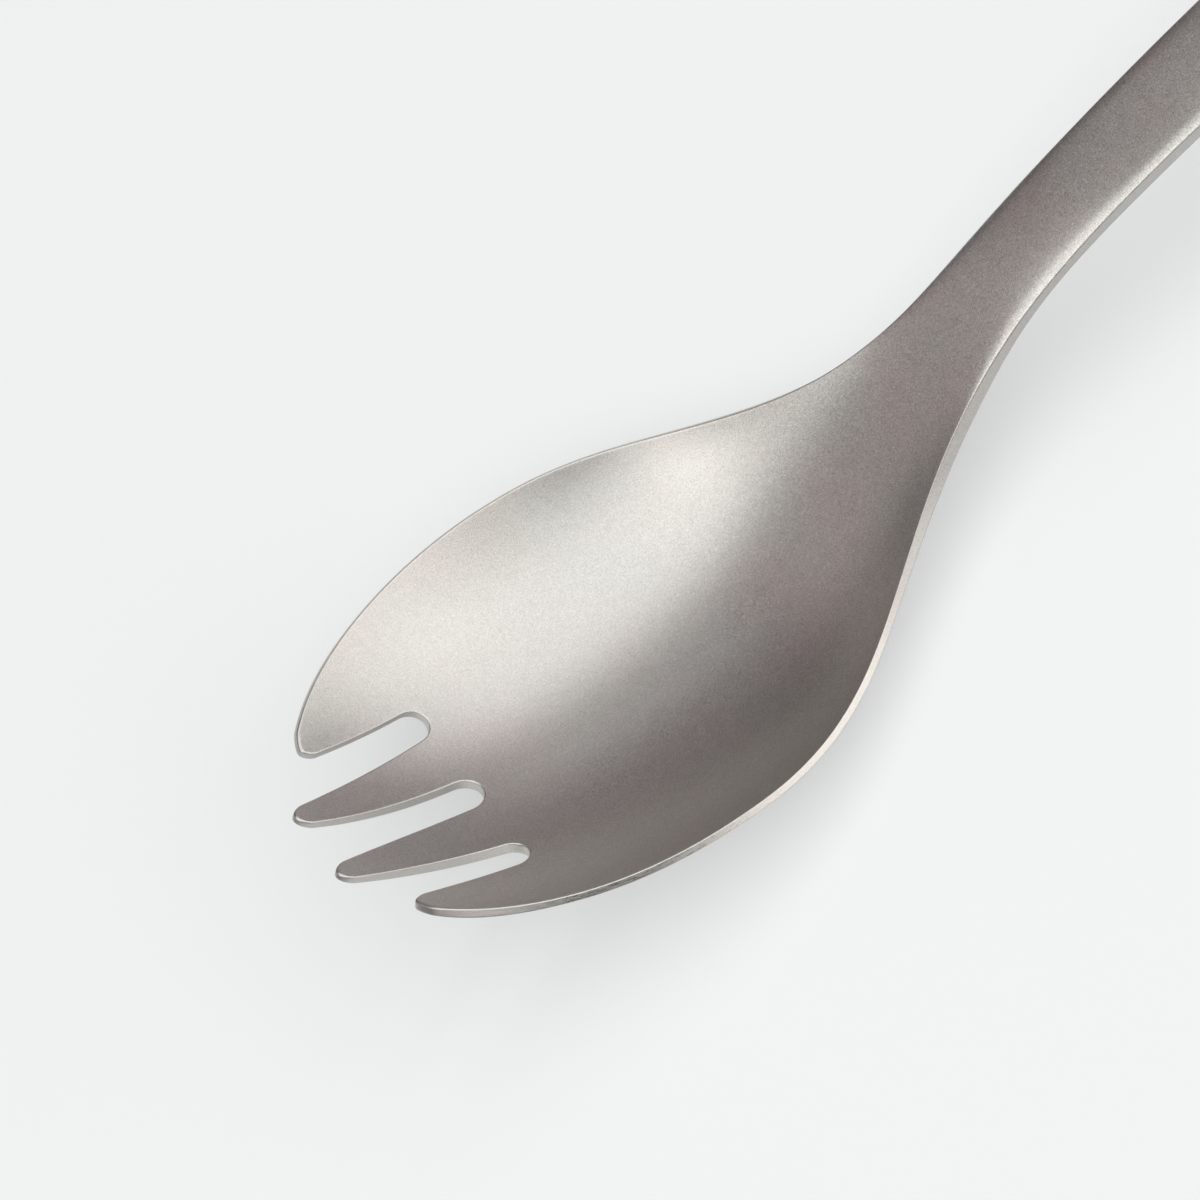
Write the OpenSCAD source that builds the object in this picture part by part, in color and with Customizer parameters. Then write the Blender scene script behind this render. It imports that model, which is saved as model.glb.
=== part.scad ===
/* [Overall] */
// Length from the tips of the middle tines to the end of the handle
length = 165; // [120:1:220]
// Width of the bowl's mouth at its widest
bowl_w = 38; // [32:0.5:44]
// Height of the handle's arch above the table
arch_h = 18; // [14:0.5:21]
// Thickness of the metal in the bowl's floor
sheet_t = 1; // [0.8:0.05:1.2]
// Thickness of the bowl's thinned rim
rim_t = 0.65; // [0.5:0.05:0.8]
// Thickness of the tines at their tips
tip_t = 0.65; // [0.5:0.05:0.8]
// Thickness of the handle along its two edges
handle_edge_t = 1.3; // [1.1:0.05:1.8]

/* [Bowl] */
// Distance from the tips to the widest place of the bowl
bowl_centre = 26.1; // [23:0.1:29]
// How far past the middle tips the bowl's round outline would close
nose_ahead = 0.3; // [0.1:0.1:2]
// Distance over which the bowl draws in to the neck
shoulder_len = 24.2; // [21:0.1:28]
// How squarely the bowl turns in to the neck
shoulder_power = 2.45; // [2:0.05:3]
// How flat the bowl's floor is across: 2 is a plain curve, more is flatter
floor_power = 2.5; // [2:0.1:3]
// Distance from the tips over which the rim grows thin
rim_thin_run = 14; // [8:0.5:18]
// Distance from the tips to where the metal starts to thicken towards the handle
thicken_start = 44; // [32:1:48]
// Distance over which it thickens
thicken_run = 20; // [12:1:30]

/* [Tines] */
// Distance from the tips to the round ends of the slots
slot_len = 12; // [8:0.2:14]
// Width of the two side slots at their round ends
side_slot_w = 2.7; // [1.6:0.1:3.2]
// Width of the middle slot at its round end
mid_slot_w = 3; // [1.6:0.1:3.6]
// Lean of the side slots towards the middle, in degrees
slot_lean = 9; // [4:0.5:10]
// How much each side of a side slot opens by the tips
side_slot_open = 0.5; // [0.2:0.1:0.8]
// How much each side of the middle slot curves outwards by the tips
mid_slot_open = 0.9; // [0.5:0.1:1.2]
// Distance by which the outer tines end short of the middle ones
outer_setback = 3.3; // [2:0.1:5]
// Length over which an outer tip is rounded
outer_tip_round = 0.9; // [0.5:0.1:2]
// Length over which a middle tip is rounded
inner_tip_round = 0.9; // [0.5:0.1:2]
// Length over which the tines grow thinner towards their tips
tip_thin_run = 10; // [6:0.5:12]
// How flat the tines lie across at their tips: 2 is a plain curve, more is flatter
tine_power = 2.8; // [2.5:0.1:4]

/* [Handle] */
// Width of the handle where it leaves the bowl
neck_w = 8.3; // [7:0.1:11]
// Width of the handle at its rounded end
end_w = 12; // [8:0.2:16]
// Distance from the tips to where the handle starts to widen
widen_start = 78; // [70:1:100]
// Width of the rounded shoulder along each of its edges
edge_round_w = 1.9; // [1.4:0.1:2.2]
// How far that shoulder falls to the edge
edge_round_drop = 0.65; // [0.4:0.05:0.8]
// How tightly the shoulder is rounded at the edge: more is tighter
edge_round_power = 3.6; // [2:0.1:5]
// Distance from the tips to where the shoulders start
edge_round_start = 57; // [50:1:60]
// Distance over which they reach their full fall
edge_round_run = 7; // [6:1:24]

/* [Hidden] */

// Heights of the middle line at even steps along the length, as shares of the arch:
// one step before the tips, at the tips, and so on to one step past the handle's end
keel_shares = [1.97, 0.93, 0.335, 0.075, 0.015, 0.385, 0.817, 0.965, 1.015, 1.01, 0.915, 0.745, 0.48, 0.125, -0.235];
// Heights of the rim at the same steps
rim_shares = [0.99, 1.005, 0.74, 0.54, 0.285, 0.435, 0.807, 0.945, 1.005, 0.995, 0.9, 0.73, 0.465, 0.115, -0.245];
// Places of the rows along a tine, from its tip to the end of its slot
tine_row_shares = [0, 0.01, 0.028, 0.055, 0.11, 0.19, 0.3, 0.43, 0.57, 0.7, 0.81, 0.89, 0.94, 0.97, 0.99];
// Places of the rails across half of the bowl, from the rim to the middle line
rail_shares = [1, 0.965, 0.92, 0.86, 0.79, 0.7, 0.6, 0.49, 0.37, 0.25, 0.12, 0];
// Places of the handle's outermost rails, as shares of its shoulder's width
shoulder_shares = [0, 0.1, 0.24, 0.5, 1];
// Where a tip lies between its two sides, as a share from the slot nearer the middle
outer_tip_share = 0.5;
inner_tip_share = 0.5;
// How late the slots curve open: more is nearer to the tips
side_slot_power = 1.1;
mid_slot_power = 2.5;
// Share of the half width from which the rim grows thinner
thin_share = 0.75;
// Rail that a side slot runs into, the last rail of a half, and the shoulder's inner rail
slot_rail = 7;
mid_rail = 11;
shoulder_rail = 4;
// Columns in a row: each slot column is stored twice, once for each of its sides
half_cols = 13;
cols = 2 * half_cols;
// Rows along the tines, the body and the rounded end
tine_rows = len(tine_row_shares);
body_rows = 58;
end_rows = 6;
last_row = tine_rows + body_rows + end_rows;
// Width left at a tip, as a share, so that its facets have a real size
tip_flat = 0.1;

// Small length for reading slopes
probe = length / 10000;
// Length of the bowl's round nose, and spacing of the profile heights
bowl_nose = bowl_centre + nose_ahead;
profile_step = length / 12;
// How far the lower edge of the middle tips lies ahead of their upper edge
tip_overhang = tip_t * sheet_slope(0);
// Centre of the handle's rounded end
end_centre = length - tip_overhang - end_w / 2;

function mix(a, b, t) = a + (b - a) * t;
function clamp(t) = max(0, min(1, t));
function ease(t) = clamp(t) * clamp(t) * (3 - 2 * clamp(t));
function unit(v) = v / norm(v);
function bump(t) =
    abs(t) < 1 ? (4 - 6 * t * t + 3 * abs(t) * t * t) / 6 :
    abs(t) < 2 ? pow(2 - abs(t), 3) / 6 : 0;

// Smooth height at distance s from the tips
function profile(shares, s) =
    arch_h * (shares * [for (i = [0 : len(shares) - 1]) bump(s / profile_step - i + 1)]);

// Share of a thickness by which a fall of the middle line moves the lower face forwards
function sheet_slope(s) =
    let (fall = (profile(keel_shares, s) - profile(keel_shares, s + probe)) / probe)
    fall / norm([fall, 1]);

// Half of the outline's width at distance s from the tips
function half_w(s) =
    s < bowl_centre
        ? bowl_w / 2 * sqrt(1 - pow((bowl_centre - s) / bowl_nose, 2))
        : mix(neck_w, bowl_w, exp(-pow((s - bowl_centre) / shoulder_len, shoulder_power))) / 2
            + (end_w - neck_w) / 2 * ease((s - widen_start) / (end_centre - widen_start));

// How far the handle's shoulders have formed, from 0 to 1
function shouldered(s) = ease((s - edge_round_start) / edge_round_run);

// Height of the pressed sheet's upper face without the handle's shoulders
function sheet_z(s, y) =
    let (at = min(max(s, outer_setback), end_centre),
         power = mix(tine_power, floor_power, clamp(s / slot_len)))
    profile(keel_shares, s)
        + (profile(rim_shares, at) - profile(keel_shares, at)) * pow(abs(y) / half_w(at), power);

function sheet_normal(s, y) = unit([
    sheet_z(s - probe, y) - sheet_z(s + probe, y),
    sheet_z(s, y - probe) - sheet_z(s, y + probe),
    2 * probe]);

// Half of a slot's width at distance s, with its round end
function slot_half(root_w, opening, power, s) =
    let (r = root_w / 2, before = slot_len - r - s)
    before < 0 ? sqrt(max(0, r * r - before * before))
               : r + opening * pow(before / (slot_len - r), power);
function side_slot_half(s) = slot_half(side_slot_w, side_slot_open, side_slot_power, s);
function mid_slot_half(s) = slot_half(mid_slot_w, mid_slot_open, mid_slot_power, s);

// Middle line of a side slot
slot_root_y = half_w(slot_len) * rail_shares[slot_rail];
function slot_y(s) = slot_root_y - (slot_len - s) * tan(slot_lean);

// How far a tine has opened out from its rounded tip, from 0 to 1
function tip_open(past, round_len) =
    max(tip_flat, sqrt(1 - pow(1 - clamp(past / round_len), 2)));

// Plan position on a tine: rail h of a half, row share t
function outer_tine(h, t) =
    let (s = mix(outer_setback, slot_len, t),
         open = tip_open(s - outer_setback, outer_tip_round),
         inner = slot_y(s) + side_slot_half(s),
         f = (rail_shares[h] - rail_shares[slot_rail]) / (1 - rail_shares[slot_rail]))
    [s, mix(inner, half_w(s), mix(outer_tip_share, f, open))];

function inner_tine(h, t) =
    let (s = mix(0, slot_len, t),
         open = tip_open(s, inner_tip_round),
         inner = mid_slot_half(s),
         outer = slot_y(s) - side_slot_half(s),
         f = rail_shares[h] / rail_shares[slot_rail])
    [s, mix(inner, outer, mix(inner_tip_share, f, open))];

// Plan distance from the middle line of rail h in the body
function rail_y(h, s) =
    let (w = half_w(s),
         on_handle = h < shoulder_rail ? w - edge_round_w * shoulder_shares[h]
             : (w - edge_round_w) * (mid_rail - h) / (mid_rail - shoulder_rail))
    mix(rail_shares[h] * w, on_handle, shouldered(s));

// Drop of rail h below the plain sheet on the handle's shoulder
function rail_drop(h, s) =
    h < shoulder_rail ? shouldered(s) * edge_round_drop * pow(1 - shoulder_shares[h], edge_round_power) : 0;

// Place of a point: [s, y, rail] for row i and half column c
function place(i, c) =
    let (h = c > slot_rail ? c - 1 : c)
    i < tine_rows
        ? let (p = c > slot_rail ? inner_tine(h, tine_row_shares[i]) : outer_tine(h, tine_row_shares[i]))
            [p[0], p[1], h]
        : i <= tine_rows + body_rows
            ? let (s = mix(slot_len, end_centre, (i - tine_rows) / body_rows))
                [s, rail_y(h, s), h]
            : let (a = 90 * (i - tine_rows - body_rows) / end_rows, r = rail_y(h, end_centre))
                [end_centre + r * sin(a), r * cos(a), h];

// Thickness of the metal at rail h: thinned at the tips and along the bowl's rim, and growing
// towards the handle, which is flat below
function rail_t(h, s) =
    let (floor_t = mix(sheet_t, tip_t, pow(1 - clamp(s / tip_thin_run), 2)),
         by_rim = ease((rail_shares[h] - thin_share) / (1 - thin_share)),
         thinned = mix(1, rim_t / sheet_t, by_rim * ease(s / rim_thin_run)),
         handle_t = handle_edge_t + edge_round_drop - rail_drop(h, length))
    mix(floor_t * thinned, handle_t, ease((s - thicken_start) / thicken_run));

// Upper and lower face points of row i and column c
function point_pair(i, c) =
    let (side = c < half_cols ? 1 : -1,
         p = place(i, c < half_cols ? c : cols - 1 - c),
         s = p[0], y = p[1],
         top = [s + tip_overhang - length / 2, y, sheet_z(s, y) - rail_drop(p[2], s)],
         low = top - rail_t(p[2], s) * sheet_normal(s, y))
    [[top[0], side * top[1], top[2]], [low[0], side * low[1], low[2]]];

// Number of the stored point that row i, column c uses: the two sides of a slot share
// their points past its end, and the rails meet around the rounded end of the handle
function point_id(i, c) =
    let (mirrored = i == last_row && c >= half_cols ? cols - 1 - c : c,
         joined = i < tine_rows ? mirrored :
             mirrored == slot_rail + 1 ? slot_rail :
             mirrored == cols - slot_rail - 1 ? cols - slot_rail - 2 :
             mirrored == half_cols ? half_cols - 1 : mirrored,
         row = joined == half_cols - 1 ? min(i, tine_rows + body_rows) : i)
    row * cols + joined;

// Columns after which a slot lies
slot_cols = [slot_rail, half_cols - 1, cols - slot_rail - 2];
function is_slot(c) = len(search(c, slot_cols)) > 0;

// Four corners as two facets, without those that have no area
function facets(a, b, c, d) = [
    if (a != b && b != c && c != a) [a, b, c],
    if (a != c && c != d && d != a) [a, c, d]];

module spork() {
    pairs = [for (i = [0 : last_row]) for (c = [0 : cols - 1]) point_pair(i, c)];
    count = len(pairs);
    ground = min([for (p = pairs) min(p[0][2], p[1][2])]);
    drop = [0, 0, ground];
    points = concat([for (p = pairs) p[0] - drop], [for (p = pairs) p[1] - drop]);

    faces = [
        for (i = [0 : last_row - 1]) for (c = [0 : cols - 2])
            if (i >= tine_rows || !is_slot(c))
                let (a = point_id(i, c), b = point_id(i, c + 1),
                     e = point_id(i + 1, c + 1), d = point_id(i + 1, c))
                each concat(facets(a, d, e, b), facets(count + a, count + b, count + e, count + d)),
        // Cut edge on both sides
        for (i = [0 : last_row - 1]) for (c = [0, cols - 1])
            let (a = point_id(i, c), b = point_id(i + 1, c))
            each c == 0 ? facets(a, count + a, count + b, b) : facets(a, b, count + b, count + a),
        // Walls of the slots
        for (i = [0 : tine_rows - 1]) for (c = slot_cols)
            let (a = point_id(i, c), b = point_id(i + 1, c),
                 d = point_id(i, c + 1), e = point_id(i + 1, c + 1))
            each concat(facets(a, b, count + b, count + a), facets(d, count + d, count + e, e)),
        // Ends of the tines
        for (c = [0 : cols - 2])
            if (!is_slot(c))
                let (a = point_id(0, c), b = point_id(0, c + 1))
                each facets(a, b, count + b, count + a)];

    color("silver") polyhedron(points, faces, convexity = 6);
}

spork();
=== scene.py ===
"""A pressed titanium spork on a pale studio floor.

The spork is one sheet of metal. Here it starts, as the real one does, as a flat blank with
softened edges: `Blank` cuts it to the outline of tines, bowl, neck and handle. `Press` then
shapes it with a Geometry Nodes tree that knows the heights of the middle line and of the rim,
the metal's thickness along the spork and the rounded shoulders of the handle. Lengths are
metres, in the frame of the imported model.
"""

import logging
import math
from collections.abc import Callable
from dataclasses import dataclass, field
from enum import Enum

import bpy
import numpy as np
from mathutils import Matrix, Vector, geometry


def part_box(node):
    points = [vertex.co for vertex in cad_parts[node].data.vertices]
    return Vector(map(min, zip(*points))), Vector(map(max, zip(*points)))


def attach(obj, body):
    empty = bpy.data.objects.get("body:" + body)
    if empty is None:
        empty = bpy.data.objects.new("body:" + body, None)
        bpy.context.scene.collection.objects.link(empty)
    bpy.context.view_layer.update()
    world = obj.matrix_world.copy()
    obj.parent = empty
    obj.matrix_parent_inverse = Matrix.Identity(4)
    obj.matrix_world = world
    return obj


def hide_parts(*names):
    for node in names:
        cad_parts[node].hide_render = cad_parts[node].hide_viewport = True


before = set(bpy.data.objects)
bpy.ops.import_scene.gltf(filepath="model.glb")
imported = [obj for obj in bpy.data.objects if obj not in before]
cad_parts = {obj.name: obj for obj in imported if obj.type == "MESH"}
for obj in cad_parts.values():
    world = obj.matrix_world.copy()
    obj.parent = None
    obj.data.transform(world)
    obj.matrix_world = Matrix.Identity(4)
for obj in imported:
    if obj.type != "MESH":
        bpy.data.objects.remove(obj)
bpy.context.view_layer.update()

log = logging.getLogger("spork")

NODE = "spork"
BODY = "root"

MM = 0.001
SLOT_LENGTH = 12 * MM

Number = int | float
Triple = tuple[float, float, float]


def operator(operation: str, reflected: bool = False) -> Callable[..., "Field"]:
    """Makes an operator or method of Field that builds one Math node.

    Args:
        operation: the node's operation.
        reflected: True where the other value comes first.

    Returns:
        The method. It takes the other value where the operation has one.
    """

    def method(self: "Field", *others: "Field | Number") -> "Field":
        """The operation on this value and the others."""
        values = enumerate((*others, self) if reflected else (self, *others))
        return self.graph.field("ShaderNodeMath", {"operation": operation}, dict(values))

    return method


class Field:
    """A socket that carries one number, on which Python operators build Math nodes.

    The methods that have a name give the larger or the smaller of two values, 1 where this
    value is below the other and else 0, the square root, and e to the power of this value.
    """

    def __init__(self, graph: "Graph", socket: bpy.types.NodeSocket) -> None:
        """Wraps an output socket of the graph."""
        self.graph = graph
        self.socket = socket

    __add__, __radd__ = operator("ADD"), operator("ADD", reflected=True)
    __sub__, __rsub__ = operator("SUBTRACT"), operator("SUBTRACT", reflected=True)
    __mul__, __rmul__ = operator("MULTIPLY"), operator("MULTIPLY", reflected=True)
    __truediv__, __rtruediv__ = operator("DIVIDE"), operator("DIVIDE", reflected=True)
    __pow__, __abs__ = operator("POWER"), operator("ABSOLUTE")
    at_least, at_most, below = operator("MAXIMUM"), operator("MINIMUM"), operator("LESS_THAN")
    root, exp = operator("SQRT"), operator("EXPONENT")

    def __neg__(self) -> "Field":
        """The value with its sign changed."""
        return self * -1

    def eased(self, start: "Field | Number", end: "Field | Number") -> "Field":
        """Rises smoothly from 0 where this value is start to 1 where it is end."""
        settings = {"interpolation_type": "SMOOTHSTEP"}
        inputs = {"Value": self, "From Min": start, "From Max": end}
        return self.graph.field("ShaderNodeMapRange", settings, inputs)

    def mixed(self, low: "Field | Number", high: "Field | Number") -> "Field":
        """Value between low, where this field is 0, and high, where it is 1."""
        settings = {"data_type": "FLOAT", "clamp_factor": False}
        return self.graph.field("ShaderNodeMix", settings, {0: self, 2: low, 3: high})


class Graph:
    """A node tree, with one way to add a node to it."""

    def __init__(self, tree: bpy.types.NodeTree) -> None:
        """Empties the tree that is to be filled."""
        self.tree = tree
        tree.nodes.clear()

    def add(
        self, kind: str, settings: dict | None = None, inputs: dict | None = None
    ) -> bpy.types.Node:
        """Adds a node.

        Args:
            kind: the node's type.
            settings: its properties, set first.
            inputs: values, fields or sockets for its inputs, by name or number.

        Returns:
            The new node.
        """
        node = self.tree.nodes.new(kind)
        for name, value in (settings or {}).items():
            setattr(node, name, value)
        for key, value in (inputs or {}).items():
            if isinstance(value, Field):
                value = value.socket
            if isinstance(value, bpy.types.NodeSocket):
                self.tree.links.new(value, node.inputs[key])
            else:
                node.inputs[key].default_value = value
        return node

    def field(
        self,
        kind: str,
        settings: dict | None = None,
        inputs: dict | None = None,
        output: str | int = 0,
    ) -> Field:
        """Adds a node and returns one of its outputs as a number.

        Args:
            kind: the node's type.
            settings: its properties.
            inputs: its inputs.
            output: name or number of the output.

        Returns:
            The output.
        """
        return Field(self, self.add(kind, settings, inputs).outputs[output])

    def call(self, group: bpy.types.NodeTree, inputs: dict[str, Field]) -> list[Field]:
        """Outputs of a node group, in their order."""
        node = self.add("GeometryNodeGroup", {"node_tree": group}, inputs)
        return [Field(self, socket) for socket in node.outputs]

    def joined(self, *parts: Field | Number) -> bpy.types.NodeSocket:
        """Vector whose first parts are given."""
        return self.add("ShaderNodeCombineXYZ", None, dict(enumerate(parts))).outputs[0]

    def vector(self, operation: str, inputs: dict) -> bpy.types.NodeSocket:
        """Vector that a Vector Math node gives."""
        return self.add("ShaderNodeVectorMath", {"operation": operation}, inputs).outputs[0]

    def closed(self, outputs: dict[str, object]) -> bpy.types.NodeTree:
        """The tree, with these as the outputs of its group."""
        self.add("NodeGroupOutput", None, outputs)
        return self.tree

    def colour_mix(
        self, factor: Field, low: bpy.types.NodeSocket | tuple, high: bpy.types.NodeSocket | tuple
    ) -> bpy.types.NodeSocket:
        """Colour between low, where the factor is 0, and high, where it is 1."""
        colours = {0: factor, 6: low, 7: high}
        return self.add("ShaderNodeMix", {"data_type": "RGBA"}, colours).outputs[2]


def ease(value: float, start: float, end: float) -> float:
    """Smooth step: 0 where the value is up to start, 1 from end on."""
    t = min(max((value - start) / (end - start), 0.0), 1.0)
    return t * t * (3 - 2 * t)


def mix(low: float, high: float, share: float) -> float:
    """Number at a share of the way from low to high."""
    return low + (high - low) * share


def quarter(steps: int) -> list[float]:
    """Angles of a quarter turn, from 0 on in even steps."""
    return [math.pi / 2 * k / steps for k in range(steps + 1)]


def linked(name: str, data: bpy.types.ID) -> bpy.types.Object:
    """New object in the scene's collection."""
    thing = bpy.data.objects.new(name, data)
    bpy.context.scene.collection.objects.link(thing)
    return thing


class Side(Enum):
    """Side of a tine, as its place across the tine."""

    INNER = 0.0
    OUTER = 1.0


@dataclass(frozen=True)
class SheetSizes:
    """The pressed metal: its length, outline, heights, thickness and rounded shoulders.

    Places along the spork are distances from the tips of its middle tines. The two rows of
    shares are heights at even steps, as shares of the arch, one step before the tips to one
    past the end: of the middle line, and of the rim. `edge_round` names the handle's rolled
    shoulders. `flat_drop` is how far the handle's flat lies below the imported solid's.
    """

    length: float
    thickness: float = 1.0 * MM
    rim_thickness: float = 0.65 * MM
    tip_thickness: float = 0.65 * MM
    handle_edge_thickness: float = 1.3 * MM
    bowl_width: float = 38 * MM
    arch_height: float = 17.98 * MM
    bowl_centre: float = 26.1 * MM
    nose_ahead: float = 0.3 * MM
    shoulder_length: float = 24.2 * MM
    shoulder_power: float = 2.45
    floor_power: float = 2.5
    tine_power: float = 2.8
    rim_thin_run: float = 14 * MM
    tip_thin_run: float = 10 * MM
    thin_share: float = 0.75
    thicken_start: float = 44 * MM
    thicken_run: float = 20 * MM
    neck_width: float = 8.3 * MM
    end_width: float = 12 * MM
    widen_start: float = 78 * MM
    edge_round_width: float = 1.9 * MM
    edge_round_drop: float = 0.18 * MM
    edge_round_power: float = 5.0
    edge_round_start: float = 57 * MM
    edge_round_run: float = 7 * MM
    flat_drop: float = 0.47 * MM
    flat_start: float = 44 * MM
    flat_run: float = 30 * MM
    outer_setback: float = 3.3 * MM
    slot_length: float = SLOT_LENGTH
    keel_shares: tuple[float, ...] = (
        (1.97, 0.93, 0.335, 0.075, 0.015, 0.385, 0.845, 0.942)
        + (1.015, 1.01, 0.915, 0.745, 0.48, 0.125, -0.235)
    )
    rim_shares: tuple[float, ...] = (
        (0.99, 1.005, 0.74, 0.54, 0.285, 0.435, 0.807, 0.945)
        + (1.005, 0.995, 0.9, 0.73, 0.465, 0.115, -0.245)
    )

    @property
    def profile_step(self) -> float:
        """Spacing of the profile heights."""
        return self.length / (len(self.keel_shares) - 3)

    @property
    def nose_length(self) -> float:
        """Length of the bowl's round nose."""
        return self.bowl_centre + self.nose_ahead

    @property
    def tip_overhang(self) -> float:
        """How far the middle tips' lower edge lies ahead of their upper edge."""
        before, _, after = self.keel_shares[:3]
        fall = self.arch_height * (before - after) / 2 / self.profile_step
        return self.tip_thickness * fall / math.hypot(fall, 1)

    @property
    def end_centre(self) -> float:
        """Centre of the handle's rounded end."""
        return self.length - self.tip_overhang - self.end_width / 2

    def half_width(self, s: float) -> float:
        """Half of the outline's width.

        Args:
            s: distance from the tips.

        Returns:
            The half width there.
        """
        if s < self.bowl_centre:
            ahead = (self.bowl_centre - s) / self.nose_length
            return self.bowl_width / 2 * math.sqrt(1 - ahead**2)
        past = ((s - self.bowl_centre) / self.shoulder_length) ** self.shoulder_power
        widening = (self.end_width - self.neck_width) / 2
        body = mix(self.neck_width, self.bowl_width, math.exp(-past)) / 2
        return body + widening * ease(s, self.widen_start, self.end_centre)


@dataclass(frozen=True)
class Slot:
    """One slot between two tines, which opens from its round end towards the tips.

    Args:
        width: width at the round end.
        opening: how much further out each side lies at the tips.
        power: how late the sides turn outwards.
        length: from the tips to the round end.
    """

    width: float
    opening: float
    power: float
    length: float = SLOT_LENGTH

    def half(self, s: float) -> float:
        """Half of the slot's width.

        Args:
            s: distance from the tips.

        Returns:
            The half width there.
        """
        radius = self.width / 2
        before = self.length - radius - s
        if before < 0:
            return math.sqrt(max(0.0, radius**2 - before**2))
        return radius + self.opening * (before / (self.length - radius)) ** self.power


@dataclass(frozen=True)
class TineSizes:
    """The side slots and the middle one, and the tines' tips.

    The side slots lean out by an angle from the middle line. Their round ends lie at a share
    of the half width, and each tip at a share of the way across its tine.
    """

    side: Slot = Slot(2.7 * MM, 0.5 * MM, 1.1)
    middle: Slot = Slot(3 * MM, 0.9 * MM, 2.5)
    lean: float = math.radians(9)
    root_share: float = 0.49
    outer_tip_round: float = 0.9 * MM
    inner_tip_round: float = 0.9 * MM
    tip_share: float = 0.5


@dataclass(frozen=True)
class EdgeSizes:
    """Softening of the cut edges by tumbling: radii, and how far the tips' larger ones reach."""

    upper: float = 0.1 * MM
    lower: float = 0.08 * MM
    upper_tip: float = 0.17 * MM
    lower_tip: float = 0.13 * MM
    tip_reach: float = 3 * MM

    def radii(self, tip: np.ndarray) -> tuple[np.ndarray, np.ndarray]:
        """Radii of the upper and the lower edge, by nearness to a tip."""
        return mix(self.upper, self.upper_tip, tip), mix(self.lower, self.lower_tip, tip)


@dataclass(frozen=True)
class MeshSizes:
    """Fineness of the blank's mesh: spacings, and steps round the ends, tips and edges.

    Args:
        settle: distances of further rows of points from a softened edge.
        kept_share: share of its inset that a row's point keeps in a narrow corner.
        clearance: gap between those rows, or the rails, and the points inside.
        wall_levels: heights of the rows on the cut faces, as shares of the thickness.
        rail_start: where the rails, the lines along the handle's shoulders, start.
        rails: distances of the rails from the handle's edge.
        weld: distance, in millimetres, below which points are merged.
        chunk: number of points that are measured at once.
    """

    step: float = 0.5 * MM
    outline_step: float = 0.3 * MM
    round_end_steps: int = 12
    tip_steps: int = 16
    round_steps: int = 4
    settle: tuple[float, ...] = (0.1 * MM, 0.28 * MM)
    kept_share: float = 0.96
    clearance: float = 0.35 * MM
    wall_levels: tuple[float, ...] = (0.12, 0.5, 0.88)
    rail_start: float = 54 * MM
    rails: tuple[float, ...] = (0.75 * MM, 1.05 * MM, 1.4 * MM, 1.75 * MM, 2.1 * MM)
    weld: float = 1e-5
    chunk: int = 2000


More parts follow.
